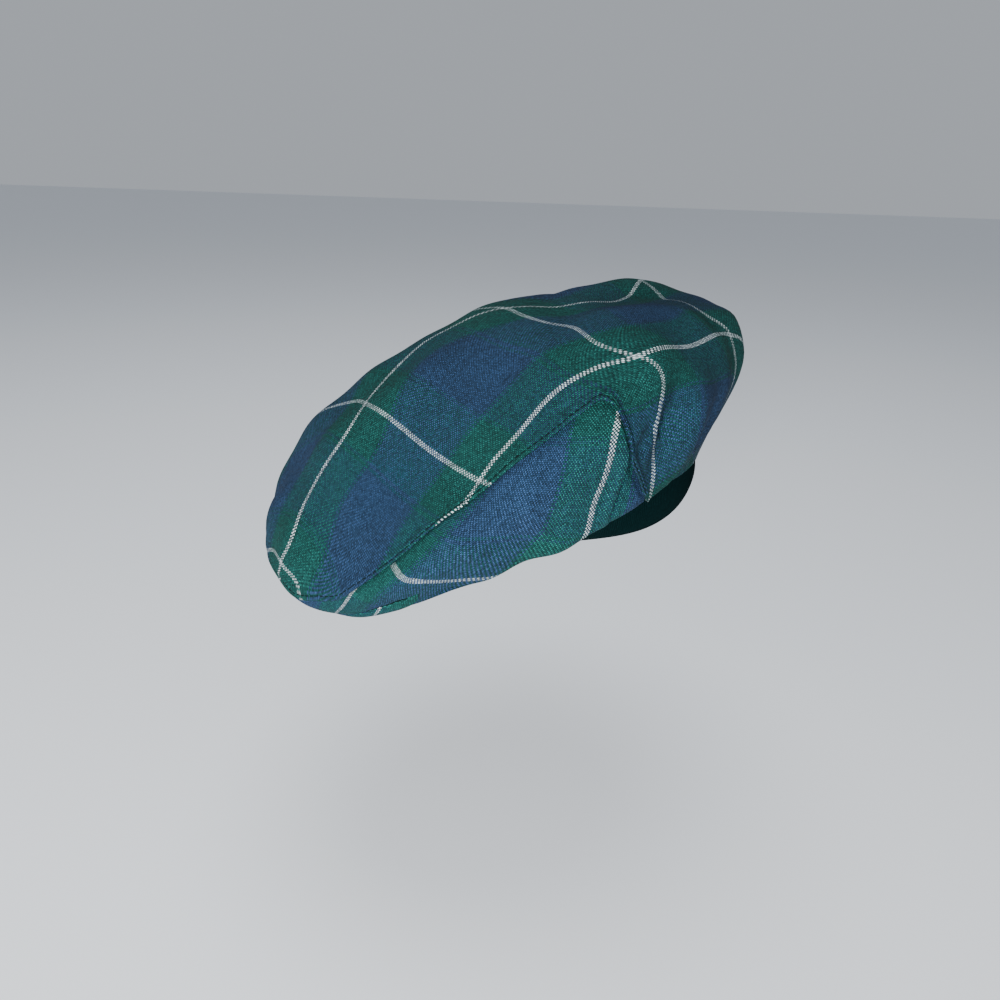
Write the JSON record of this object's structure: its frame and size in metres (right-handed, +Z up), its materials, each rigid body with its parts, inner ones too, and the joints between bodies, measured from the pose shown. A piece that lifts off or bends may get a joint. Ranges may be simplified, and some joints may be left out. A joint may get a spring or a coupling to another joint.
{
  "type": "tam o shanter",
  "caption": "Soft tartan tam with a slack round crown slumped to the front, side panel, narrow front lip and ribbed knit headband.",
  "frame": {"origin": "centre of the headband's lower edge, where the hat sits on a head", "axes": "+Z up through the head; the hat's front points 30 degrees to -Y from -X, so the picture looks along +Y at its near side"},
  "size_m": [0.2449, 0.2281, 0.1495],
  "materials": {
    "crown_tartan": "matt plain-weave tartan in blue and green with a thin white line, rumpled and slack",
    "side_tartan": "the same matt plain-weave tartan, cut at another angle",
    "lip_tartan": "the same tartan turned over a stiff edge",
    "knit_band": "soft dark green ribbed knit, matt and slightly fuzzy"
  },
  "bodies": {
    "root": {"crown_top": "crown_tartan", "side_panel": "side_tartan", "front_lip": "lip_tartan", "headband": "knit_band"}
  },
  "joints": []
}
